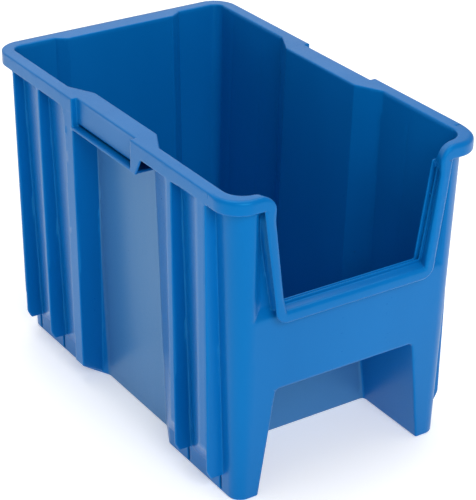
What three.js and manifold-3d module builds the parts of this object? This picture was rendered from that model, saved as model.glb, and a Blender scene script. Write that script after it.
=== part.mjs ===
// Stackable hopper-front storage bin, in millimetres.
// +X is the bin's right, +Y its rear, +Z up. The origin is at the bottom centre of its bounding box.
// The bin is one moulding. Each named mesh is one zone of it, cut where the shape itself changes.
import * as THREE from "three";
import { mergeVertices } from "three/addons/utils/BufferGeometryUtils.js";
import Module from "manifold-3d";

const wasm = await Module();
wasm.setup();

// Overall size
const LENGTH = 444.5;
const WIDTH = 276.2;
const HEIGHT = 317.5;
const WALL = 3;

// Rim: a flat top plate with a skirt hanging from its outer edge
const RIM_X = WIDTH / 2;
const RIM_Y = LENGTH / 2;
const RIM_RADIUS = 26.5;
const RIM_INNER_RADIUS = 12;
const SKIRT = 14;
const SKIRT_WALL = 2.5;
const PLATE_Z = HEIGHT - WALL;
const SKIRT_Z = HEIGHT - SKIRT;

// Outer faces of the walls, at the top of the bin and at its foot
const SIDE_X = { top: 127.5, foot: 117.5 };
const PANEL_X = { top: 113.5, foot: 103.5 };
const REAR_Y = { top: 210.5, foot: 202 };
const FRONT_Y = { top: 216.5, foot: 204 };
const CORNER_RADIUS = 13;
const POST_RADIUS = { top: 20, foot: 12 };
const CORNER_Y = 188;
const CORNER_X = 103;

// The inset panel of each side, with a slanted flank at each end
const PANEL_Y = 57;
const FLANK_Y = 85;
// The same on the rear wall
const REAR_INSET = 7.5;
const REAR_PANEL_X = 62;
const REAR_FLANK_X = 74;

// Hollow stacking ribs. Each has a ramp out of the wall, a crest level with the skirt and a steep
// face. Low down they taper back to the wall, and a fin under the steep face makes the stacking stop.
const CREST_X = { top: RIM_X, foot: 135 };
const TAPER_TOP_Z = 51;
const TAPER_FOOT_Z = 19;
const STOP_Z = 20;
const STOP_X = 131;
const STOP_BEVEL_Z = 28;
const RIB_WALL = 2.6;
// Between neighbours whose shared face isn't square to an axis
const GAP = 0.3;
// How far a cutter runs past the face that it opens
const OVERRUN = 1;
const RIBS = [
  { name: "rib_rear", ramp: 188, crest: 181, face: 177.5 },
  { name: "rib_mid_rear", ramp: 173.5, crest: 127.5, face: 124 },
  { name: "rib_mid_front", ramp: -FLANK_Y, crest: -118, face: -126.5 },
  { name: "rib_front", ramp: -131, crest: -168, face: -183 },
];
const PILASTER = { ramp: 120.5, crest: 71.5, face: 55.5 };
const PILASTER_FOOT_Z = 22;

// Lifting grip: a notch in the rim over the inset panel, with a back plate and a shelf below it
const GRIP_Y = 55.5;
const GRIP_BACK_X = 132;
const GRIP_BACK_Z = 291;
const GRIP_WALL = 2.4;
const SHELF_Z = 285.5;
const SHELF_TOP_Z = 288.5;
const GRIP_CAP_Y = { top: -74, foot: -64 };

// Hopper opening in the front: the rim turns down beside it and runs along the sill
const SILL_Z = 200;
const SILL_SKIRT_Z = 188;
const SILL_BACK_Y = -208.4;
const JAMB_TOP_X = 87.5;
const JAMB_FOOT_X = 75.6;
const JAMB_OUTER_FOOT_X = 87.4;
const JAMB_CORNER = 9;
const SHOULDER_X = 101.5;
const WING_Y = -206.5;
// From here back to the wing, the opening is this much wider at its shoulders than in front
const FLARE_Y = -209.75;
const JAMB_FLARE = 6.5;
// The wing's outer return stops below the plate, clear of the rounded shoulder
const RETURN_TOP_Z = PLATE_Z - 1;

// Channel round the opening that takes a clip-in window: how far each ridge stands off the frame
const CHANNEL_WALL = 2.2;
const CHANNEL_SLOT = 2.4;
const CHANNEL_FLOOR = 0.6;
const FRONT_RIDGE = { top: 1.2, foot: 1.2, sill: 3 };
const REAR_RIDGE = { top: 4, foot: 2.2, sill: 2.2 };
const CHANNEL_TOP_Z = 298;
const CHANNEL_BACK_Y = -202.8;

// Tunnel between the two front legs
const TUNNEL_Z = 113;
const TUNNEL_TOP_X = 77.7;
const TUNNEL_FOOT_X = 92.7;
const RISER_Y = -118.3;

const ARC_STEPS = 6;
const POLYPROPYLENE = { color: 0x1d6fb5, roughness: 0.42, metalness: 0 };

const bin = new THREE.Group();

// A length that changes evenly from the foot of the bin to its top.
function drafted(size, z) {
  return size.foot + ((size.top - size.foot) * z) / HEIGHT;
}

const sideX = (z) => drafted(SIDE_X, z);
const panelX = (z) => drafted(PANEL_X, z);
const rearY = (z) => drafted(REAR_Y, z);
const frontY = (z) => drafted(FRONT_Y, z);
const crestX = (z) => drafted(CREST_X, z);
const rearRadius = () => CORNER_RADIUS;
const postRadius = (z) => drafted(POST_RADIUS, z);
const tunnelX = (z) => TUNNEL_FOOT_X + ((TUNNEL_TOP_X - TUNNEL_FOOT_X) * z) / TUNNEL_Z;

// The opening's side edge at the wing, straight from the sill to the shoulder.
function jambX(z) {
  const spread = JAMB_TOP_X + JAMB_FLARE - JAMB_FOOT_X;
  return JAMB_FOOT_X + (spread * (z - SILL_Z)) / (SKIRT_Z - SILL_Z);
}

// A closed geometry between two outlines of equal length, one at zLow and one at zHigh.
function loftGeometry(lowOutline, highOutline, zLow, zHigh) {
  let low = lowOutline.map(([x, y]) => new THREE.Vector2(x, y));
  let high = highOutline.map(([x, y]) => new THREE.Vector2(x, y));
  if (THREE.ShapeUtils.isClockWise(low)) {
    low = low.reverse();
    high = high.reverse();
  }
  const count = low.length;
  const positions = [];
  low.forEach((p) => positions.push(p.x, p.y, zLow));
  high.forEach((p) => positions.push(p.x, p.y, zHigh));
  const index = [];
  for (const [a, b, c] of THREE.ShapeUtils.triangulateShape(low, [])) {
    index.push(c, b, a);
    index.push(a + count, b + count, c + count);
  }
  for (let i = 0; i < count; i++) {
    const next = (i + 1) % count;
    index.push(i, next, next + count);
    index.push(i, next + count, i + count);
  }
  const geometry = new THREE.BufferGeometry();
  geometry.setAttribute("position", new THREE.Float32BufferAttribute(positions, 3));
  geometry.setIndex(index);
  return geometry;
}

// The same from a function that gives the outline at a height.
function loft(outlineAt, zLow, zHigh) {
  return loftGeometry(outlineAt(zLow), outlineAt(zHigh), zLow, zHigh);
}

function prism(outline, zLow, zHigh) {
  return loftGeometry(outline, outline, zLow, zHigh);
}

function box(xLow, xHigh, yLow, yHigh, zLow, zHigh) {
  return prism([[xLow, yLow], [xHigh, yLow], [xHigh, yHigh], [xLow, yHigh]], zLow, zHigh);
}

// Two outlines drawn in X and Z, joined along Y.
function loftAlongY(lowOutline, highOutline, yLow, yHigh) {
  const flipped = (outline) => outline.map(([x, z]) => [x, -z]);
  const geometry = loftGeometry(flipped(lowOutline), flipped(highOutline), yLow, yHigh);
  return geometry.applyMatrix4(new THREE.Matrix4().makeRotationX(-Math.PI / 2));
}

function extrudeAlongY(outline, yLow, yHigh) {
  return loftAlongY(outline, outline, yLow, yHigh);
}

// An outline drawn in Y and Z, extruded along X.
function extrudeAlongX(outline, xLow, xHigh) {
  const swap = new THREE.Matrix4().set(0, 0, 1, 0, 1, 0, 0, 0, 0, 1, 0, 0, 0, 0, 0, 1);
  return prism(outline, xLow, xHigh).applyMatrix4(swap);
}

function solidOf(geometry) {
  const bare = geometry.clone();
  bare.deleteAttribute("normal");
  bare.deleteAttribute("uv");
  const merged = mergeVertices(bare, 1e-4);
  return new wasm.Manifold(
    new wasm.Mesh({
      numProp: 3,
      vertProperties: merged.getAttribute("position").array,
      triVerts: new Uint32Array(merged.index.array),
    }),
  );
}

function geometryOf(solid) {
  const mesh = solid.getMesh();
  const geometry = new THREE.BufferGeometry();
  geometry.setAttribute("position", new THREE.BufferAttribute(mesh.vertProperties, 3));
  geometry.setIndex(new THREE.BufferAttribute(mesh.triVerts, 1));
  return geometry;
}

function union(...geometries) {
  return geometryOf(geometries.map(solidOf).reduce((whole, piece) => whole.add(piece)));
}

function subtract(geometry, cutter) {
  return geometryOf(solidOf(geometry).subtract(solidOf(cutter)));
}

function intersect(geometry, other) {
  return geometryOf(solidOf(geometry).intersect(solidOf(other)));
}

function mirrored(geometry) {
  const copy = geometry.clone().applyMatrix4(new THREE.Matrix4().makeScale(-1, 1, 1));
  const index = Array.from(copy.index.array);
  for (let i = 0; i < index.length; i += 3) {
    [index[i + 1], index[i + 2]] = [index[i + 2], index[i + 1]];
  }
  copy.setIndex(index);
  return copy;
}

function add(name, geometry) {
  geometry.computeVertexNormals();
  const mesh = new THREE.Mesh(geometry, new THREE.MeshStandardMaterial(POLYPROPYLENE));
  mesh.name = name;
  bin.add(mesh);
}

// A zone of the right side and its mirror image on the left.
function addPair(name, geometry) {
  add(name + "_right", geometry);
  add(name + "_left", mirrored(geometry));
}

// Points on a quarter circle from one angle to another, in degrees.
function arc(centreX, centreY, radius, from, to) {
  return Array.from({ length: ARC_STEPS + 1 }, (_, i) => {
    const angle = THREE.MathUtils.degToRad(from + ((to - from) * i) / ARC_STEPS);
    return [centreX + radius * Math.cos(angle), centreY + radius * Math.sin(angle)];
  });
}

// The floor, in strips that follow the inset panels, and the base of each front leg.
function buildFloor() {
  const rearStrip = (z) => [
    [-panelX(z), PANEL_Y],
    [panelX(z), PANEL_Y],
    [sideX(z), FLANK_Y],
    ...arc(sideX(z) - CORNER_RADIUS, rearY(z) - CORNER_RADIUS, CORNER_RADIUS, 0, 90),
    [REAR_FLANK_X, rearY(z)],
    [REAR_PANEL_X, rearY(z) - REAR_INSET],
    [-REAR_PANEL_X, rearY(z) - REAR_INSET],
    [-REAR_FLANK_X, rearY(z)],
    ...arc(CORNER_RADIUS - sideX(z), rearY(z) - CORNER_RADIUS, CORNER_RADIUS, 90, 180),
    [-sideX(z), FLANK_Y],
  ];
  const middleStrip = (z) => [
    [-panelX(z), -PANEL_Y],
    [panelX(z), -PANEL_Y],
    [panelX(z), PANEL_Y],
    [-panelX(z), PANEL_Y],
  ];
  const frontStrip = (z) => [
    [-sideX(z), RISER_Y],
    [sideX(z), RISER_Y],
    [sideX(z), -FLANK_Y],
    [panelX(z), -PANEL_Y],
    [-panelX(z), -PANEL_Y],
    [-sideX(z), -FLANK_Y],
  ];
  const legBase = (z) => [
    [tunnelX(z), -frontY(z)],
    ...arc(sideX(z) - postRadius(z), postRadius(z) - frontY(z), postRadius(z), -90, 0),
    [sideX(z), RISER_Y],
    [tunnelX(z), RISER_Y],
  ];
  add("floor_rear", loft(rearStrip, 0, WALL));
  add("floor_middle", loft(middleStrip, 0, WALL));
  add("floor_front", loft(frontStrip, 0, WALL));
  addPair("leg_base", loft(legBase, 0, WALL));
}

// A straight run of side wall between two outer edges, each given as [x at height z, y].
function sideRun([firstX, firstY], [secondX, secondY]) {
  const outline = (z) => [
    [firstX(z), firstY],
    [secondX(z), secondY],
    [secondX(z) - WALL, secondY],
    [firstX(z) - WALL, firstY],
  ];
  return loft(outline, WALL, PLATE_Z);
}

function buildSideWalls() {
  addPair("side_wall_rear", sideRun([sideX, CORNER_Y], [sideX, FLANK_Y]));
  addPair("side_flank_rear", sideRun([sideX, FLANK_Y], [panelX, PANEL_Y]));
  addPair("side_panel", sideRun([panelX, PANEL_Y], [panelX, -PANEL_Y]));
  addPair("side_flank_front", sideRun([panelX, -PANEL_Y], [sideX, -FLANK_Y]));
  addPair("side_wall_front", sideRun([sideX, -FLANK_Y], [sideX, -CORNER_Y]));
}

// A rounded wall corner, from the side wall to the end wall. The sign is 1 at the rear, -1 in front.
function cornerOutline(z, sign, endY, radius) {
  const x = sideX(z) - radius(z);
  const y = sign * (endY(z) - radius(z));
  return [
    [sideX(z), sign * CORNER_Y],
    ...arc(x, y, radius(z), 0, sign * 90),
    [CORNER_X, sign * endY(z)],
    [CORNER_X, sign * (endY(z) - WALL)],
    ...arc(x, y, radius(z) - WALL, sign * 90, 0),
    [sideX(z) - WALL, sign * CORNER_Y],
  ];
}

function buildRearWall() {
  const panelY = (z) => rearY(z) - REAR_INSET;
  const side = (z) => [
    [CORNER_X, rearY(z)],
    [REAR_FLANK_X, rearY(z)],
    [REAR_PANEL_X, panelY(z)],
    [REAR_PANEL_X, panelY(z) - WALL],
    [REAR_FLANK_X, rearY(z) - WALL],
    [CORNER_X, rearY(z) - WALL],
  ];
  const centre = (z) => [
    [-REAR_PANEL_X, panelY(z) - WALL],
    [REAR_PANEL_X, panelY(z) - WALL],
    [REAR_PANEL_X, panelY(z)],
    [-REAR_PANEL_X, panelY(z)],
  ];
  addPair("rear_corner", loft((z) => cornerOutline(z, 1, rearY, rearRadius), WALL, PLATE_Z));
  addPair("rear_wall", loft(side, WALL, PLATE_Z));
  add("rear_panel", loft(centre, WALL, PLATE_Z));
}

// The front below the sill: two corner posts that run down into legs, and the wall between them.
function buildFrontWall() {
  const legFront = (z) => [
    [CORNER_X, -frontY(z)],
    [CORNER_X, WALL - frontY(z)],
    [tunnelX(z), WALL - frontY(z)],
    [tunnelX(z), -frontY(z)],
  ];
  const panel = (z) => [
    [-CORNER_X, -frontY(z)],
    [CORNER_X, -frontY(z)],
    [CORNER_X, WALL - frontY(z)],
    [-CORNER_X, WALL - frontY(z)],
  ];
  const post = (z) => cornerOutline(z, -1, frontY, postRadius);
  addPair("front_post", loft(post, WALL, PLATE_Z));
  addPair("leg_front", loft(legFront, WALL, TUNNEL_Z));
  add("front_panel", loft(panel, TUNNEL_Z, SILL_SKIRT_Z));
}

function buildTunnel() {
  const side = (z) => [
    [tunnelX(z), WALL - frontY(z)],
    [tunnelX(z) + WALL, WALL - frontY(z)],
    [tunnelX(z) + WALL, RISER_Y],
    [tunnelX(z), RISER_Y],
  ];
  const riser = (z) => [
    [-tunnelX(z) - WALL, RISER_Y],
    [tunnelX(z) + WALL, RISER_Y],
    [tunnelX(z) + WALL, RISER_Y + WALL],
    [-tunnelX(z) - WALL, RISER_Y + WALL],
  ];
  const reach = TUNNEL_TOP_X + WALL;
  const frontEdge = WALL - frontY(TUNNEL_Z);
  addPair("tunnel_side", loft(side, WALL, TUNNEL_Z));
  add("tunnel_riser", loft(riser, WALL, TUNNEL_Z));
  add("tunnel_roof", box(-reach, reach, frontEdge, RISER_Y + WALL, TUNNEL_Z, TUNNEL_Z + WALL));
}

// Where a rib's section is solid, seen from the side: everything above its taper.
function aboveTaper(offset) {
  const low = TAPER_FOOT_Z + offset;
  const wallX = sideX(low);
  const slope = (TAPER_TOP_Z - TAPER_FOOT_Z) / (CREST_X.foot - wallX);
  const reach = 2 * RIM_X;
  const outline = [
    [0, low],
    [wallX, low],
    [reach, low + slope * (reach - wallX)],
    [reach, 2 * HEIGHT],
    [0, 2 * HEIGHT],
  ];
  return extrudeAlongY(outline, -RIM_Y, RIM_Y);
}

// The pilaster's crest runs on down past the taper, as far as a bevel from the panel's foot.
function abovePilasterFoot(offset) {
  const low = PILASTER_FOOT_Z + offset;
  const reach = 2 * RIM_X;
  const outline = [
    [0, offset],
    [PANEL_X.foot, offset],
    [CREST_X.foot, low],
    [reach, low],
    [reach, 2 * HEIGHT],
    [0, 2 * HEIGHT],
  ];
  return union(aboveTaper(offset), extrudeAlongY(outline, 0, PILASTER.crest - offset / 2));
}

// A rib skin, hollow against the wall and open at its top under the rim.
function ribSkin(outer, inner, lowZ = TAPER_FOOT_Z, above = aboveTaper) {
  const solid = intersect(loft(outer, lowZ, SKIRT_Z), above(0));
  const hollow = intersect(loft(inner, lowZ, HEIGHT), above(2 * RIB_WALL));
  return subtract(solid, hollow);
}

function ribOutline(z, { ramp, crest, face }) {
  return [
    [sideX(z), ramp],
    [crestX(z), crest],
    [crestX(z), face],
    [sideX(z), face],
  ];
}

function ribHollow(z, { ramp, crest, face }) {
  const wall = sideX(z) - OVERRUN;
  const inner = crestX(z) - RIB_WALL;
  const run = (ramp - crest) / (crestX(z) - sideX(z));
  return [
    [wall, ramp - run * (RIB_WALL - OVERRUN)],
    [inner, crest],
    [inner, face + RIB_WALL],
    [wall, face + RIB_WALL],
  ];
}

// The stop under a rib's steep face: a fin from the wall out to the crest.
function stopFin(face) {
  const outline = [
    [sideX(STOP_Z), STOP_Z],
    [STOP_X, STOP_Z],
    [crestX(STOP_BEVEL_Z), STOP_BEVEL_Z],
    [crestX(SKIRT_Z), SKIRT_Z],
    [sideX(SKIRT_Z), SKIRT_Z],
  ];
  return extrudeAlongY(outline, face, face + RIB_WALL);
}

function buildRibs() {
  for (const rib of RIBS) {
    const skin = ribSkin((z) => ribOutline(z, rib), (z) => ribHollow(z, rib));
    addPair(rib.name, union(skin, stopFin(rib.face)));
  }
}

// The wide rib behind the grip: its steep face runs in as far as the inset panel.
function buildPilaster() {
  const { ramp, crest, face } = PILASTER;
  const outer = (z) => [
    [sideX(z), ramp],
    [crestX(z), crest],
    [crestX(z), face],
    [panelX(z) + GAP, face],
    [panelX(z) + GAP, PANEL_Y],
    [sideX(z) + GAP, FLANK_Y],
    [sideX(z), FLANK_Y + GAP],
  ];
  const inner = (z) => [
    [sideX(z) - OVERRUN, ramp - 2 * RIB_WALL],
    [crestX(z) - RIB_WALL, crest],
    [crestX(z) - RIB_WALL, face + RIB_WALL],
    [panelX(z), face + RIB_WALL],
    [sideX(z) - OVERRUN, FLANK_Y + GAP],
  ];
  addPair("pilaster", ribSkin(outer, inner, 0, abovePilasterFoot));
}

// The lifting grip's shelf, with a cap level with the skirt and an end wall at its front.
function buildGrip() {
  const shelf = (z) => [
    [panelX(z), GRIP_Y],
    [RIM_X, GRIP_Y],
    [RIM_X, GRIP_CAP_Y.foot],
    [sideX(z), GRIP_CAP_Y.foot],
    [panelX(z), -GRIP_Y],
  ];
  const cap = [
    [GRIP_CAP_Y.foot, SHELF_Z],
    [GRIP_CAP_Y.top, SKIRT_Z],
    [-GRIP_Y, SKIRT_Z],
    [-GRIP_Y, SHELF_Z],
  ];
  const backX = GRIP_BACK_X - GRIP_WALL;
  addPair(
    "grip_shelf",
    union(
      loft(shelf, SHELF_Z, SHELF_TOP_Z),
      extrudeAlongX(cap, RIM_X - SKIRT_WALL, RIM_X),
      box(backX, RIM_X, -GRIP_Y - GRIP_WALL, -GRIP_Y, SHELF_Z, SKIRT_Z),
    ),
  );
}

// One stretch of rim: the top plate between two edges, and the skirt under the outer one.
function rimStretch(outer, skirtInner, inner) {
  const plate = prism([...outer, ...inner], PLATE_Z, HEIGHT);
  const skirt = prism([...outer, ...skirtInner], SKIRT_Z, PLATE_Z);
  return union(plate, skirt);
}

// A rim corner: the sign is 1 at the rear, -1 in front.
function rimCorner(sign, endX, innerX, innerY, innerRadius) {
  const x = RIM_X - RIM_RADIUS;
  const y = sign * (RIM_Y - RIM_RADIUS);
  const outer = [[RIM_X, sign * CORNER_Y], ...arc(x, y, RIM_RADIUS, 0, sign * 90), [endX, sign * RIM_Y]];
  const skirtInner = [
    [endX, sign * (RIM_Y - SKIRT_WALL)],
    ...arc(x, y, RIM_RADIUS - SKIRT_WALL, sign * 90, 0),
    [RIM_X - SKIRT_WALL, sign * CORNER_Y],
  ];
  const inner = [
    [endX, sign * innerY],
    ...arc(innerX - innerRadius, sign * (innerY - innerRadius), innerRadius, sign * 90, 0),
    [innerX, sign * CORNER_Y],
  ];
  return rimStretch(outer, skirtInner, inner);
}

// A straight stretch of side rim from yLow to yHigh, with the given points along its inner edge.
function rimSide(yLow, yHigh, inner) {
  const skirtX = RIM_X - SKIRT_WALL;
  return rimStretch(
    [[RIM_X, yLow], [RIM_X, yHigh]],
    [[skirtX, yHigh], [skirtX, yLow]],
    inner,
  );
}

function buildRim() {
  const wallX = SIDE_X.top - WALL;
  const insetX = PANEL_X.top - WALL;
  const rearEdge = REAR_Y.top - WALL;
  const frontEdge = FRONT_Y.top - 2 * WALL;
  const rear = rimStretch(
    [[CORNER_X, RIM_Y], [-CORNER_X, RIM_Y]],
    [[-CORNER_X, RIM_Y - SKIRT_WALL], [CORNER_X, RIM_Y - SKIRT_WALL]],
    [
      [-CORNER_X, rearEdge],
      [-REAR_FLANK_X, rearEdge],
      [-REAR_PANEL_X, rearEdge - REAR_INSET],
      [REAR_PANEL_X, rearEdge - REAR_INSET],
      [REAR_FLANK_X, rearEdge],
      [CORNER_X, rearEdge],
    ],
  );
  const innerRadius = CORNER_RADIUS - WALL;
  const rearInner = [[wallX, CORNER_Y], [wallX, FLANK_Y], [insetX, PANEL_Y], [insetX, GRIP_Y]];
  const frontInner = [[insetX, -GRIP_Y], [insetX, -PANEL_Y], [wallX, -FLANK_Y], [wallX, -CORNER_Y]];
  const endWall = (yLow) => box(GRIP_BACK_X, RIM_X, yLow, yLow + GRIP_WALL, SKIRT_Z, PLATE_Z);
  const grip = union(
    box(insetX, GRIP_BACK_X, -GRIP_Y, GRIP_Y, PLATE_Z, HEIGHT),
    box(GRIP_BACK_X - GRIP_WALL, GRIP_BACK_X, -GRIP_Y, GRIP_Y, GRIP_BACK_Z, PLATE_Z),
  );
  add("rim_rear", rear);
  addPair("rim_corner_rear", rimCorner(1, CORNER_X, wallX, rearEdge, innerRadius));
  addPair("rim_side_rear", union(rimSide(GRIP_Y, CORNER_Y, rearInner), endWall(GRIP_Y)));
  addPair("rim_grip", grip);
  addPair("rim_side_front", union(rimSide(-CORNER_Y, -GRIP_Y, frontInner), endWall(-GRIP_Y - GRIP_WALL)));
  const postInner = POST_RADIUS.top - WALL;
  addPair("rim_corner_front", rimCorner(-1, SHOULDER_X, wallX, frontEdge, postInner));
}

// The opening's edge in X and Z, from the shoulder down to the sill, moved into the frame by offset
// and widened at the shoulder by flare.
function jambEdge(offset, flare = 0) {
  const radius = SKIRT - offset;
  const shoulder = arc(SHOULDER_X, SKIRT_Z, radius, 90, 180);
  return [
    ...shoulder.map(([x, z]) => [x + (flare * (SHOULDER_X - x)) / radius, z]),
    [JAMB_FOOT_X + offset, SILL_Z],
  ];
}

// The frame beside the opening: the rim turned down, with its skirt facing forward.
function buildJambs() {
  const skirt = [
    ...jambEdge(0),
    [JAMB_FOOT_X, SILL_SKIRT_Z],
    ...arc(JAMB_OUTER_FOOT_X - JAMB_CORNER, SILL_SKIRT_Z + JAMB_CORNER, JAMB_CORNER, -90, 0),
    [SHOULDER_X, SKIRT_Z],
  ];
  const edge = (flare) => [
    ...jambEdge(0, flare),
    [JAMB_FOOT_X, SILL_Z - WALL],
    [JAMB_FOOT_X + WALL, SILL_Z - WALL],
    ...jambEdge(WALL, flare).reverse(),
  ];
  const wing = [
    ...jambEdge(0, JAMB_FLARE),
    [JAMB_FOOT_X, SILL_SKIRT_Z],
    [CORNER_X, SILL_SKIRT_Z],
    [CORNER_X, PLATE_Z],
    [SHOULDER_X, PLATE_Z],
  ];
  const ledgeFront = -frontY(SILL_SKIRT_Z);
  const returnWall = (z) => [
    [CORNER_X, -frontY(z)],
    [CORNER_X, WING_Y + WALL],
    [CORNER_X - WALL, WING_Y + WALL],
    [CORNER_X - WALL, -frontY(z)],
  ];
  addPair(
    "jamb",
    union(
      extrudeAlongY(skirt, -RIM_Y, SKIRT_WALL - RIM_Y),
      loftAlongY(edge(0), edge(JAMB_FLARE), -RIM_Y, FLARE_Y),
      extrudeAlongY(edge(JAMB_FLARE), FLARE_Y, WING_Y),
    ),
  );
  addPair(
    "front_wing",
    union(
      extrudeAlongY(wing, WING_Y, WING_Y + WALL),
      loft(returnWall, SILL_SKIRT_Z, RETURN_TOP_Z),
      box(JAMB_FOOT_X, CORNER_X, ledgeFront, WING_Y + WALL, SILL_SKIRT_Z, SILL_SKIRT_Z + WALL),
    ),
  );
}

function buildSill() {
  const section = [
    [-RIM_Y, SILL_SKIRT_Z],
    [SKIRT_WALL - RIM_Y, SILL_SKIRT_Z],
    [SKIRT_WALL - RIM_Y, SILL_Z - WALL],
    [SILL_BACK_Y - WALL, SILL_Z - WALL],
    [SILL_BACK_Y - WALL, SILL_SKIRT_Z],
    [SILL_BACK_Y, SILL_SKIRT_Z],
    [SILL_BACK_Y, SILL_Z],
    [-RIM_Y, SILL_Z],
  ];
  add("sill", extrudeAlongX(section, -JAMB_FOOT_X, JAMB_FOOT_X));
}

// A clip-in window's channel: two ridges on a thin floor, up each jamb and along the sill.
function buildWindowChannel() {
  const frontLow = CHANNEL_BACK_Y - 2 * CHANNEL_WALL - CHANNEL_SLOT;
  const frontHigh = frontLow + CHANNEL_WALL;
  const rearLow = CHANNEL_BACK_Y - CHANNEL_WALL;
  const footZ = SILL_Z + FRONT_RIDGE.sill;
  const strip = (topDepth, footDepth) => [
    [jambX(CHANNEL_TOP_Z) - topDepth, CHANNEL_TOP_Z],
    [jambX(footZ) - footDepth, footZ],
    [jambX(footZ), footZ],
    [jambX(CHANNEL_TOP_Z), CHANNEL_TOP_Z],
  ];
  addPair(
    "window_channel",
    union(
      extrudeAlongY(strip(CHANNEL_FLOOR, CHANNEL_FLOOR), frontLow, CHANNEL_BACK_Y),
      extrudeAlongY(strip(FRONT_RIDGE.top, FRONT_RIDGE.foot), frontLow, frontHigh),
      extrudeAlongY(strip(REAR_RIDGE.top, REAR_RIDGE.foot), rearLow, CHANNEL_BACK_Y),
    ),
  );
  const section = [
    [frontLow, SILL_Z],
    [CHANNEL_BACK_Y, SILL_Z],
    [CHANNEL_BACK_Y, SILL_Z + REAR_RIDGE.sill],
    [rearLow, SILL_Z + REAR_RIDGE.sill],
    [rearLow, SILL_Z + CHANNEL_FLOOR],
    [frontHigh, SILL_Z + CHANNEL_FLOOR],
    [frontHigh, SILL_Z + FRONT_RIDGE.sill],
    [frontLow, SILL_Z + FRONT_RIDGE.sill],
  ];
  add("window_channel_sill", extrudeAlongX(section, -JAMB_FOOT_X, JAMB_FOOT_X));
}

buildFloor();
buildSideWalls();
buildRearWall();
buildFrontWall();
buildTunnel();
buildRibs();
buildPilaster();
buildGrip();
buildRim();
buildJambs();
buildSill();
buildWindowChannel();

export default bin;
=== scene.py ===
"""Looks of the stackable hopper-front bin: one distance field of the moulding, cut into its zones."""

import math

from concurrent.futures import ThreadPoolExecutor

import bpy
import numpy as np
import openvdb
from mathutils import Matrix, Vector
from mathutils.geometry import delaunay_2d_cdt


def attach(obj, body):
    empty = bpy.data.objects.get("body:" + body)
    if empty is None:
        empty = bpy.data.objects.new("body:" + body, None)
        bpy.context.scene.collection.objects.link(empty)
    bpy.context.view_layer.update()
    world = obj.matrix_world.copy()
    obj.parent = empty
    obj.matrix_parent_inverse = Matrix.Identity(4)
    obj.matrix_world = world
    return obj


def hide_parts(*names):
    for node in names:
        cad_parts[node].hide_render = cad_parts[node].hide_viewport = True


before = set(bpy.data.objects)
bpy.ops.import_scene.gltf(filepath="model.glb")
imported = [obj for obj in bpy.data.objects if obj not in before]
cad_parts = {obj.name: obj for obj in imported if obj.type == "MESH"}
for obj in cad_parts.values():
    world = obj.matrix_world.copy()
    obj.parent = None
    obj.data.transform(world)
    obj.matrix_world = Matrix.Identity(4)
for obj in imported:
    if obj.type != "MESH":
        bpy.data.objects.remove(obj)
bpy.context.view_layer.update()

# Everything below is in millimetres until a mesh is made.
HEIGHT = 317.5
RIM_X = 138.1
RIM_Y = 222.25
STEP = 0.8
BAND = 4.0
SKIRT_Z = 303.5
SILL_Z = 200.0
TUNNEL_Z = 113.0
RISER_Y = -118.3
WALL = 3.0

# Planes that cut the moulding into its zones, clear of the grid's own planes
RIM_CUT_Z = 303.13
END_CUT_Y = 188.13
SIDE_CUT_X = 100.07
MIDDLE_CUT_X = 0.07
TUNNEL_CUT_Y = -100.07

# Camera, in metres
TARGET = (-0.0851, -0.1027, 0.2078)
DISTANCE = 1.6798
LENS = 130.95
SHIFT = (0.0618, 0.0068)

# Ribs: where the ramp leaves the wall, both ends of the crest, and whether a stop fin ends them
RIBS = [
    (188.0, 181.0, 177.5, True),
    (173.5, 127.5, 124.0, True),
    (120.5, 71.5, 55.3, False),
    (-85.0, -118.0, -126.5, True),
    (-131.0, -168.0, -183.0, True),
]
SLOT_Y = (182.0, 130.5, -121.5, -178.0)
SINK_Y = (177.0, 124.0, -127.0)


def clamp(value, low, high):
    return np.minimum(np.maximum(value, low), high)


def smoothstep(low, high, value):
    t = clamp((value - low) / (high - low), 0.0, 1.0)
    return t * t * (3.0 - 2.0 * t)


def union(a, b, fillet=0.0):
    """The smaller of two distances, with a concave fillet of about that radius."""
    if fillet <= 0:
        return np.minimum(a, b)
    h = np.maximum(fillet - np.abs(a - b), 0.0) / fillet
    return np.minimum(a, b) - h * h * fillet * 0.25


def both(a, b, radius=0.0):
    """The larger of two distances, with a true rounded edge of that radius."""
    if np.ndim(radius) == 0 and radius <= 0:
        return np.maximum(a, b)
    u = np.maximum(a + radius, 0.0)
    v = np.maximum(b + radius, 0.0)
    return np.minimum(np.maximum(a, b), -radius) + np.sqrt(u * u + v * v)


def cut(a, b, radius=0.0):
    return both(a, -b, radius)


def box(x, y, z, x0, x1, y0, y1, z0, z1, radius=0.0):
    dx = np.maximum(x0 - x, x - x1) + radius
    dy = np.maximum(y0 - y, y - y1) + radius
    dz = np.maximum(z0 - z, z - z1) + radius
    outside = np.sqrt(
        np.maximum(dx, 0) ** 2 + np.maximum(dy, 0) ** 2 + np.maximum(dz, 0) ** 2
    )
    return outside + np.minimum(np.maximum(dx, np.maximum(dy, dz)), 0) - radius


def side_x(z):
    return 117.5 + 10.0 * z / HEIGHT


def panel_x(z):
    return 103.5 + 10.0 * z / HEIGHT


def crest_x(z):
    return 135.0 + 3.1 * z / HEIGHT


def rear_y(z):
    return 202.0 + 8.5 * z / HEIGHT


def front_y(z):
    return 204.0 + 12.5 * z / HEIGHT


def jamb_x(z):
    return 75.6 + 11.9 * (z - SILL_Z) / (SKIRT_Z - SILL_Z)


def tunnel_x(z):
    return 92.7 - 15.0 * z / TUNNEL_Z


def near(y, low, high):
    """Whether this slab of the grid comes within reach of a feature."""
    return float(y.max()) > low - 8.0 and float(y.min()) < high + 8.0


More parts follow.
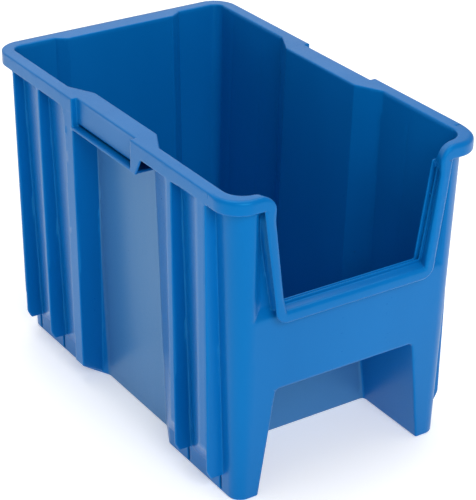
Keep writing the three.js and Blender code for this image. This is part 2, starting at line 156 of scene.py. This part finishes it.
def walls(x, y, z, inset):
    """The wall's outer face, or its inner face when inset is the wall thickness."""
    ay = np.abs(y)
    # Soft bends where the flank meets the panel and the wall
    early, late = (clamp((ay - start) / 28.0, 0.0, 1.0) for start in (55.8, 58.2))
    flank = 0.5 * (early + late)
    width = panel_x(z) + (side_x(z) - panel_x(z)) * flank
    slope = np.where((ay > 57.0) & (ay < 85.0), 0.894, 1.0)
    side = (x - width) * slope
    inner_rear = clamp((x - 62.0) / 12.0, 0.0, 1.0)
    rear = (y - rear_y(z) + 7.5 * (1.0 - inner_rear)) * np.where((x > 62) & (x < 74), 0.85, 1.0)
    post = np.maximum(smoothstep(94.0, 107.0, x), 1.0 - smoothstep(189.0, 203.0, z))
    # The wing beside the opening leans forward under the rim, where the post is thicker
    under_rim = smoothstep(296.0, 305.0, z)
    wing = 206.5 + 6.0 * under_rim
    front = inset * (1.0 + under_rim * post) - y - wing - (front_y(z) - wing) * post
    radius = np.where(y > 0, 13.0, 13.0 + 12.0 * z / HEIGHT)
    if inset > 0:
        radius = np.minimum(radius - inset, 20.0)
    return both(side + inset, np.maximum(rear + inset, front), radius)


def rib(x, y, z, ramp, crest, face, stop):
    wall, crest_face = side_x(z), x - crest_x(z)
    height = crest_x(z) - wall
    run = ramp - crest
    norm = np.sqrt(height**2 + run**2)
    slope_face = ((x - wall) * run + (y - ramp) * height) / norm
    # The pilaster's steep face turns back a little where it meets the inset panel
    lean = 0.0 if stop else (10.5 - 0.047 * z) / 30.0
    steep = (face - y - lean * crest_face) * 0.98
    sides = both(crest_face, steep, 0.9)
    taper = ((x - 117.5) * 32.0 - (z - 19.0) * 17.5) / 36.5
    body = both(both(sides, slope_face, 0.9), taper, 0.9)
    if stop:
        end = ((x - 131.0) * 8.0 - (z - 20.0) * 4.2) / 9.0
        fin = both(both(sides, end, 1.0), 20.0 - z, 0.8)
        fin = both(fin, y - face - 2.8, 0.8)
    else:
        fin = both(both(sides, y - crest), ((x - 104.0) * 22.0 - z * 31.5) / 38.4, 0.9)
    # Its inner side stays within the wall
    return both(np.minimum(body, fin), panel_x(z) - 1.0 - x)


def moulding(x, y, z):
    """Signed distance of the right half of the bin, in millimetres, negative inside the plastic."""
    outer = walls(x, y, z, 0.0)
    cavity = both(walls(x, y, z, WALL), WALL - z, 5.0)

    if near(y, -RIM_Y, RISER_Y):
        tunnel_side = (x - tunnel_x(z)) * 0.991
        tunnel = both(both(tunnel_side, y - RISER_Y, 4.0), z - TUNNEL_Z, 4.0)
        outer = cut(outer, tunnel, 1.5)
        cavity = cut(cavity, tunnel - WALL, 1.5)
    for values in RIBS:
        if near(y, values[2], values[0]):
            outer = union(outer, rib(x, y, z, *values), 0.4)
    for slot_y in SLOT_Y:
        if near(y, slot_y, slot_y):
            slot = box(x, y, z, 115.3, 122.0, slot_y - 1.5, slot_y + 1.5, 2.0, 24.0, 1.0)
            outer = cut(outer, slot, 0.6)
    for sink_y in SINK_Y:
        if near(y, sink_y, sink_y):
            cavity = cavity - 0.22 * np.exp(-(((y - sink_y) / 2.6) ** 2)) * (x > 90.0)

    outer = both(outer, -z, 1.2)

    # Distance in from the free edge: down from the rim's top, or out from the hopper opening
    edge = HEIGHT - z
    lip_depth = 14.0
    at_front = near(y, -RIM_Y, -150.0)
    front_edge = edge
    if at_front:
        front_edge = -both(-edge, -opening(x, y, z, 0.0, 0.0, 0.0), 14.0)
        flare = clamp((y + RIM_Y) / 12.5, 0.0, 1.0) * (1.0 - 0.6 * smoothstep(288.0, 304.0, z))
        edge = -both(-edge, -opening(x, y, z, 5.6 * flare, 5.4 * flare, 0.0), 14.0)
        lip_depth = 12.0 + 2.0 * smoothstep(200.0, 300.0, z)
    rim = both(x - RIM_X, np.abs(y) - RIM_Y, 26.5)
    pocket = both(both(rim + 2.5, WALL - edge, 1.0), -outer, 0.0)
    lip = cut(both(rim, front_edge - lip_depth, 1.0 if not at_front else 2.0), pocket, 0.8)

    shell = union(outer, lip, 1.0)
    solid = both(-edge, rim, 1.1)
    if at_front:
        forward = smoothstep(-185.0, -205.0, y)
        # The jambs' front edges are rounded a little more across than deep
        along_jamb = smoothstep(200.0, 216.0, z) * (1.0 - smoothstep(292.0, 306.0, z))
        round_edge = both(-edge * (1.0 - 0.2 * along_jamb), rim, 4.2 + 1.4 * along_jamb)
        solid = solid * (1.0 - forward) + round_edge * forward
    solid = cut(both(shell, solid), cavity, 1.2)
    if near(y, -80.0, 80.0):
        solid = add_grip(solid, x, y, z)
    if at_front:
        # Window channel: two ridges round the opening, just behind the frame
        for ridge_y, spread, lean, rise in ((-209.4, 3.0, 5.3, 3.0), (-204.9, 0.9, 4.2, 2.2)):
            run = opening(x, y, z, spread, lean, rise)
            run = np.maximum(-run, run - 5.0)
            ridge = both(run, np.maximum(ridge_y - y, y - ridge_y - 2.2), 0.7)
            solid = union(solid, both(ridge, z - 300.0, 3.0), 0.8)
    return np.maximum(solid, np.maximum(x - RIM_X, np.abs(y) - RIM_Y))


def opening(x, y, z, spread, lean, rise):
    """Distance out from the hopper opening's edge, moved sideways by spread and up by rise."""
    dx = (x - jamb_x(z) - spread - lean * (z - SILL_Z) / 100.0) * 0.99
    dz = SILL_Z + rise - z
    around = np.sqrt(np.maximum(dx, 0) ** 2 + np.maximum(dz, 0) ** 2)
    distance = np.where((dx > 0) & (dz > 0), around, np.maximum(dx, dz))
    return np.where(y < -150.0, distance, 1e3)


def add_grip(solid, x, y, z):
    """The notch in the rim, its back plate, the shelf with its cap, and the flare behind them."""
    notch = box(x, y, z, 132.0, 150.0, -55.5, 55.5, 288.5, 330.0, 0.6)
    solid = cut(solid, notch, 0.8)
    back = box(x, y, z, 129.6, 132.0, -57.0, 57.0, 291.0, 316.5, 0.9)
    solid = union(solid, back, 0.8)
    shelf = box(x, y, z, 108.0, RIM_X, -64.0, 58.0, 285.5, 288.5, 1.0)
    slant = ((-y - 64.0) * 18.0 - (z - 285.5) * 10.0) / 20.6
    cap = both(box(x, y, z, RIM_X - 2.5, RIM_X, -80.0, -55.5, 285.5, 305.0, 1.0), slant, 1.0)
    end_wall = box(x, y, z, 129.6, RIM_X, -58.0, -55.5, 286.0, 316.0, 1.0)
    grip = union(union(shelf, cap, 1.5), end_wall, 1.5)
    grip = both(grip, -walls(x, y, z, WALL))
    solid = union(solid, grip, 1.2)
    # The skirt sweeps down into the crest behind the grip
    inside = np.sqrt((1.0 - (y - 71.0) / 8.0) ** 2 + (1.0 - (303.5 - z) / 26.0) ** 2)
    flare = both((1.0 - inside) * 6.0, np.abs(x - RIM_X + 1.3) - 1.3, 0.5)
    flare = both(flare, np.maximum(69.0 - y, y - 79.0))
    flare = both(flare, np.maximum(277.5 - z, z - 305.0))
    # None of it shows inside the bin
    inner_face = np.where(z > 250.0, -walls(x, y, z, WALL), -BAND)
    return np.maximum(union(solid, flare, 0.8), inner_face)


def field():
    """The whole bin's distances on a regular grid, computed for one half and mirrored."""
    xs = np.arange(0.5 * STEP, RIM_X + 4.0, STEP, dtype=np.float32)
    ys = np.arange(-RIM_Y - 4.0, RIM_Y + 4.0, STEP, dtype=np.float32)
    zs = np.arange(-4.0, HEIGHT + 4.0, STEP, dtype=np.float32)
    half = np.empty((len(xs), len(ys), len(zs)), np.float32)

    def slab(start):
        y = ys[start : start + 8]
        shape = (len(xs), len(y), len(zs))
        axes = (xs[:, None, None], y[None, :, None], zs[None, None, :])
        grids = [np.broadcast_to(g, shape) for g in axes]
        half[:, start : start + 8, :] = np.clip(moulding(*grids), -BAND, BAND)

    with ThreadPoolExecutor(4) as pool:
        list(pool.map(slab, range(0, len(ys), 8)))
    return np.concatenate([half[::-1], half], 0), np.array([-xs[-1], ys[0], zs[0]])


def sample(values, origin, points):
    """The distance at any points, by linear interpolation."""
    grid = (points - origin) / STEP
    base = np.clip(np.floor(grid).astype(int), 0, np.array(values.shape) - 2)
    t = grid - base
    total = np.zeros(len(points))
    for corner in range(8):
        o = np.array([corner >> 2 & 1, corner >> 1 & 1, corner & 1])
        weight = np.prod(np.where(o, t, 1.0 - t), axis=1)
        i, j, k = (base + o).T
        total += weight * values[i, j, k]
    return total


def gradient(values, origin, points, reach=0.7):
    out = np.zeros((len(points), 3))
    for axis in range(3):
        step = np.zeros(3)
        step[axis] = reach
        out[:, axis] = sample(values, origin, points + step) - sample(values, origin, points - step)
    return out / np.maximum(np.linalg.norm(out, axis=1, keepdims=True), 1e-9)


def polygons(values, origin):
    """The moulding's surface as vertices in millimetres and triangles."""
    grid = openvdb.FloatGrid(BAND)
    grid.copyFromArray(values)
    points, triangles, quads = grid.convertToPolygons(isovalue=0.0, adaptivity=0.06)
    points = points.astype(float) * STEP + origin
    split = np.concatenate([quads[:, [0, 1, 2]], quads[:, [0, 2, 3]]])
    faces = np.concatenate([triangles, split]).astype(int)
    return points, faces


def regions(faces, outline):
    """A number for each triangle, shared by those with no edge of the outline between them."""
    across = {}
    for index, face in enumerate(faces):
        for n in range(3):
            across.setdefault(frozenset((face[n], face[n - 1])), []).append(index)
    region = [-1] * len(faces)
    for seed in range(len(faces)):
        waiting = [seed] if region[seed] < 0 else []
        while waiting:
            index = waiting.pop()
            region[index] = seed
            face = faces[index]
            edges = [frozenset((face[n], face[n - 1])) for n in range(3)]
            beside = [other for edge in edges if edge not in outline for other in across[edge]]
            waiting.extend(other for other in beside if region[other] < 0)
    return np.array(region)


def slice_mesh(part, axis, value, inside):
    """Cuts a closed mesh at a plane and closes both halves. part is (points, faces, capped)."""
    points, faces, capped = part
    side = points[:, axis] > value
    count = side[faces].sum(1)
    mixed = (count == 1) | (count == 2)
    crossing = faces[mixed]
    if not len(crossing):
        low, high = faces[count == 0], faces[count == 3]
        return [(points, own, capped[count == n]) for own, n in ((low, 0), (high, 3))]
    # Turn each crossing face so that the corner alone on its side comes first
    lone = np.where(count[mixed] == 1, side[crossing].T, ~side[crossing].T).argmax(0)
    rows = np.arange(len(crossing))
    a, b, c = (crossing[rows, (lone + n) % 3] for n in range(3))
    pairs = np.sort(np.concatenate([np.stack([a, b], 1), np.stack([a, c], 1)]), 1)
    edges, inverse = np.unique(pairs, axis=0, return_inverse=True)
    inverse = inverse.reshape(-1)
    p, q = points[edges[:, 0]], points[edges[:, 1]]
    made = p + ((value - p[:, axis]) / (q[:, axis] - p[:, axis]))[:, None] * (q - p)
    made[:, axis] = value
    ab = inverse[: len(a)] + len(points)
    ac = inverse[len(a) :] + len(points)
    pieces = np.concatenate(
        [np.stack([a, ab, ac], 1), np.stack([ab, b, c], 1), np.stack([ab, c, ac], 1)]
    )
    upper = np.concatenate([side[a], ~side[a], ~side[a]])
    marks = np.tile(capped[mixed], 3)

    # The cap: every triangle of the cut's plane that lies in the plastic
    u, v = [n for n in range(3) if n != axis]
    flat = [Vector((m[u], m[v])) for m in made]
    links = (np.stack([ab, ac], 1) - len(points)).tolist()
    _, joins, found, origins, join_origins, _ = delaunay_2d_cdt(flat, links, [], 0, 1e-9)
    used = [o[0] if len(o) else -1 for o in origins]
    found = [f for f in found if all(used[n] >= 0 for n in f)]
    outline = {frozenset(e) for e, o in zip(joins, join_origins) if len(o)}
    region = regions(found, outline)
    cap = np.array([[used[n] for n in f] for f in found])
    corners = made[cap]
    normal = np.cross(corners[:, 1] - corners[:, 0], corners[:, 2] - corners[:, 0])[:, axis]
    # A whole region of the outline is plastic or air, whichever most of its area says
    vote = np.bincount(region, np.abs(normal) * np.sign(inside(corners.mean(1))))
    cap, normal = cap[vote[region] < 0], normal[vote[region] < 0]
    up = np.where((normal > 0)[:, None], cap, cap[:, ::-1]) + len(points)
    everything = np.concatenate([points, made])
    halves = []
    for high in (False, True):
        own = faces[count == (3 if high else 0)]
        own_marks = capped[count == (3 if high else 0)]
        lid = up[:, ::-1] if high else up
        joined = np.concatenate([own, pieces[upper == high], lid])
        flags = np.concatenate([own_marks, marks[upper == high], np.ones(len(lid), bool)])
        kept, renumbered = np.unique(joined, return_inverse=True)
        halves.append((everything[kept], renumbered.reshape(-1, 3), flags))
    return halves


def add_piece(name, part, values, origin, material):
    points, faces, capped = part
    kept, faces = np.unique(faces, return_inverse=True)
    points, faces = points[kept], faces.reshape(-1, 3)
    mesh = bpy.data.meshes.new(name)
    mesh.from_pydata((points / 1000.0).tolist(), [], faces.tolist())
    mesh.polygons.foreach_set("use_smooth", np.ones(len(faces), bool))
    # Shading follows the exact surface, so neither the grid nor a cut shows
    smooth = gradient(values, origin, points)[faces]
    corners = points[faces]
    flat = np.cross(corners[:, 1] - corners[:, 0], corners[:, 2] - corners[:, 0])
    flat /= np.maximum(np.linalg.norm(flat, axis=1, keepdims=True), 1e-12)
    smooth[capped] = flat[capped][:, None, :]
    mesh.validate()
    mesh.normals_split_custom_set(smooth.reshape(-1, 3).tolist())
    mesh.materials.append(material)
    piece = bpy.data.objects.new(name, mesh)
    bpy.context.scene.collection.objects.link(piece)
    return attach(piece, "root")


def new_node(tree, kind, **settings):
    node = tree.nodes.new(kind)
    for key, value in settings.items():
        setattr(node, key, value)
    return node


def moulded_plastic():
    """Satin polypropylene: a fine grain, faint flow marks, small changes of colour and gloss, and a
    painted sheen, which is a paler colour on the side panels and the tunnel's riser.
    """
    material = bpy.data.materials.new("blue_polypropylene")
    material.use_nodes = True
    tree = material.node_tree
    link = tree.links.new
    shader = tree.nodes["Principled BSDF"]
    shader.inputs["IOR"].default_value = 1.49
    shader.inputs["Specular IOR Level"].default_value = 0.5
    shader.inputs["Specular Tint"].default_value = (0.08, 0.65, 1.0, 1)
    place = new_node(tree, "ShaderNodeTexCoord").outputs["Object"]

    def noise(scale, detail, stretch=(1, 1, 1)):
        mapping = new_node(tree, "ShaderNodeMapping")
        mapping.inputs["Scale"].default_value = stretch
        link(place, mapping.inputs["Vector"])
        texture = new_node(tree, "ShaderNodeTexNoise")
        texture.inputs["Scale"].default_value = scale
        texture.inputs["Detail"].default_value = detail
        link(mapping.outputs["Vector"], texture.inputs["Vector"])
        return texture.outputs["Fac"]

    def ramp(source, low, high, dark, light):
        node = new_node(tree, "ShaderNodeMapRange")
        node.inputs["From Min"].default_value = low
        node.inputs["From Max"].default_value = high
        node.inputs["To Min"].default_value = dark
        node.inputs["To Max"].default_value = light
        link(source, node.inputs["Value"])
        return node.outputs["Result"]

    def maths(operation, first, second):
        node = new_node(tree, "ShaderNodeMath", operation=operation)
        link(first, node.inputs[0])
        if isinstance(second, float):
            node.inputs[1].default_value = second
        else:
            link(second, node.inputs[1])
        return node.outputs[0]

    def painted_sheen_faces():
        """1 on the surfaces given a painted sheen, a paler colour that stands in for the whitish
        sheen they catch: both side panels and the tunnel's riser.
        """
        split = new_node(tree, "ShaderNodeSeparateXYZ")
        link(place, split.inputs[0])
        x, y, z = split.outputs
        across = maths("ABSOLUTE", x, 0.0)
        outside = maths("SUBTRACT", across, maths("MULTIPLY", z, 0.0315))
        along = maths("ABSOLUTE", y, 0.0)
        panel = maths(
            "MULTIPLY",
            ramp(outside, 0.1015, 0.1025, 0.0, 1.0),
            ramp(outside, 0.1040, 0.1046, 1.0, 0.0),
        )
        panel = maths("MULTIPLY", panel, ramp(along, 0.0590, 0.0600, 1.0, 0.0))
        panel = maths("MULTIPLY", panel, ramp(z, 0.300, 0.302, 1.0, 0.0))
        from_riser = maths("ABSOLUTE", maths("ADD", y, -RISER_Y / 1000.0), 0.0)
        riser = maths(
            "MULTIPLY",
            ramp(from_riser, 0.0008, 0.0014, 1.0, 0.0),
            ramp(across, 0.0915, 0.0935, 1.0, 0.0),
        )
        return maths("MAXIMUM", panel, maths("MULTIPLY", riser, ramp(z, 0.108, 0.112, 1.0, 0.0)))

    clouds = noise(9.0, 3.0, (1, 1, 0.35))
    flow = noise(60.0, 2.0, (1, 1, 0.08))
    grain = noise(2600.0, 2.0)
    wear = noise(380.0, 3.0)

    colour = new_node(tree, "ShaderNodeMix", data_type="RGBA")
    colour.inputs[6].default_value = (0.0, 0.122, 0.395, 1)
    colour.inputs[7].default_value = (0.001, 0.140, 0.440, 1)
    link(ramp(clouds, 0.3, 0.7, 0.0, 1.0), colour.inputs[0])
    speckle = new_node(tree, "ShaderNodeMix", data_type="RGBA", blend_type="MULTIPLY")
    speckle.inputs[7].default_value = (0.90, 0.93, 0.96, 1)
    link(ramp(grain, 0.45, 0.75, 0.0, 1.0), speckle.inputs[0])
    # Painted sheen: the side panels and the riser get a paler, greyer colour in place of the whitish
    # sheen they catch
    painted_sheen = new_node(tree, "ShaderNodeMix", data_type="RGBA")
    painted_sheen.inputs[7].default_value = (0.046, 0.170, 0.390, 1)
    link(painted_sheen_faces(), painted_sheen.inputs[0])
    link(colour.outputs[2], painted_sheen.inputs[6])
    link(painted_sheen.outputs[2], speckle.inputs[6])
    link(speckle.outputs[2], shader.inputs["Base Color"])

    rough = new_node(tree, "ShaderNodeMath", operation="ADD")
    link(ramp(wear, 0.3, 0.7, 0.29, 0.35), rough.inputs[0])
    link(ramp(flow, 0.3, 0.7, -0.02, 0.02), rough.inputs[1])
    link(rough.outputs[0], shader.inputs["Roughness"])

    height = new_node(tree, "ShaderNodeMath", operation="MULTIPLY_ADD")
    link(flow, height.inputs[0])
    height.inputs[1].default_value = 0.6
    link(grain, height.inputs[2])
    bump = new_node(tree, "ShaderNodeBump")
    bump.inputs["Strength"].default_value = 0.10
    bump.inputs["Distance"].default_value = 0.0003
    link(height.outputs[0], bump.inputs["Height"])
    link(bump.outputs["Normal"], shader.inputs["Normal"])
    return material


def build(material):
    """Cuts the moulding into its zones and makes each one a piece."""
    values, origin = field()
    points, faces = polygons(values, origin)

    def inside(where):
        return sample(values, origin, where)

    whole = (points, faces, np.zeros(len(faces), bool))
    body, rim = slice_mesh(whole, 2, RIM_CUT_Z, inside)
    rim_rest, rim_rear = slice_mesh(rim, 1, END_CUT_Y, inside)
    rim_front, rim_sides = slice_mesh(rim_rest, 1, -END_CUT_Y, inside)
    body_rest, rear = slice_mesh(body, 1, END_CUT_Y, inside)
    front, middle = slice_mesh(body_rest, 1, -END_CUT_Y, inside)
    left, middle_rest = slice_mesh(middle, 0, -SIDE_CUT_X, inside)
    centre, right = slice_mesh(middle_rest, 0, SIDE_CUT_X, inside)
    tunnel, floor = slice_mesh(centre, 1, TUNNEL_CUT_Y, inside)
    rim_left, rim_right = slice_mesh(rim_sides, 0, MIDDLE_CUT_X, inside)
    rim_front_left, rim_front_right = slice_mesh(rim_front, 0, MIDDLE_CUT_X, inside)
    return {
        name: add_piece(name, part, values, origin, material)
        for name, part in {
            "moulded_rim_rear": rim_rear,
            "moulded_rim_left": rim_left,
            "moulded_rim_right": rim_right,
            "moulded_rim_front_left": rim_front_left,
            "moulded_rim_front_right": rim_front_right,
            "moulded_wall_rear": rear,
            "moulded_wall_left": left,
            "moulded_wall_right": right,
            "moulded_front": front,
            "moulded_tunnel": tunnel,
            "moulded_floor": floor,
        }.items()
    }


def zone_of(node):
    """The piece that stands for a CAD node."""
    hand = "right" if node.endswith("right") else "left"
    if node.startswith("rim_rear") or node.startswith("rim_corner_rear"):
        return "moulded_rim_rear"
    if node.startswith("rim_corner_front"):
        return "moulded_rim_front_" + hand
    if node.startswith("rim_"):
        return "moulded_rim_" + hand
    if node.startswith("rear_"):
        return "moulded_wall_rear"
    if node.startswith("tunnel"):
        return "moulded_tunnel"
    if node.startswith("floor"):
        return "moulded_floor"
    if node.startswith(("side_", "rib_", "pilaster", "grip_", "leg_base")):
        return "moulded_wall_" + hand
    return "moulded_front"


def light(name, position, target, size, power, colour=(1, 1, 1)):
    lamp = bpy.data.lights.new(name, "AREA")
    lamp.shape = "RECTANGLE"
    lamp.size, lamp.size_y = size
    lamp.energy = power
    lamp.color = colour
    holder = bpy.data.objects.new(name, lamp)
    bpy.context.scene.collection.objects.link(holder)
    holder.location = position
    holder.rotation_euler = (Vector(target) - Vector(position)).to_track_quat("-Z", "Y").to_euler()
    return holder


def studio():
    world = bpy.data.worlds.new("studio")
    bpy.context.scene.world = world
    world.use_nodes = True
    background = world.node_tree.nodes["Background"]
    background.inputs["Color"].default_value = (1.0, 1.0, 1.0, 1)
    background.inputs["Strength"].default_value = 0.42
    target = (0, 0, 0.15)
    light("key", (-0.45, -2.4, 1.8), target, (1.4, 1.2), 40.0)
    light("top", (0.2, 0.3, 2.4), target, (2.0, 2.0), 28.0)
    light("back", (0.0, 2.0, 1.3), target, (4.0, 1.2), 11.0)
    light("left", (-2.2, -0.3, 0.35), target, (1.6, 0.6), 4.0)

    bpy.ops.mesh.primitive_plane_add(size=12.0, location=(0, 0, -0.0002))
    floor = bpy.context.object
    floor.name = "studio_floor"
    material = bpy.data.materials.new("studio_floor")
    material.use_nodes = True
    shader = material.node_tree.nodes["Principled BSDF"]
    shader.inputs["Base Color"].default_value = (0.94, 0.94, 0.94, 1)
    shader.inputs["Roughness"].default_value = 0.9
    shader.inputs["Emission Color"].default_value = (1.0, 1.0, 1.0, 1)
    shader.inputs["Emission Strength"].default_value = 0.30
    floor.data.materials.append(material)


def camera():
    azimuth, elevation = math.radians(-32.17), math.radians(27.44)
    data = bpy.data.cameras.new("camera")
    holder = bpy.data.objects.new("camera", data)
    bpy.context.scene.collection.objects.link(holder)
    target = Vector(TARGET)
    flat = math.cos(elevation)
    back = Vector((math.sin(azimuth) * flat, -math.cos(azimuth) * flat, math.sin(elevation)))
    holder.location = target + back * DISTANCE
    holder.rotation_euler = (-back).to_track_quat("-Z", "Y").to_euler()
    data.sensor_width = 36.0
    data.sensor_fit = "AUTO"
    data.lens = LENS
    data.shift_x, data.shift_y = SHIFT
    data.clip_end = 30.0
    bpy.context.scene.camera = holder


blue = moulded_plastic()
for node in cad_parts.values():
    node.data.materials.clear()
    node.data.materials.append(blue)
made = build(blue)
for piece_name, piece in made.items():
    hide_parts(*[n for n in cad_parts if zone_of(n) == piece_name])
studio()
camera()
bpy.context.scene.view_settings.view_transform = "Standard"
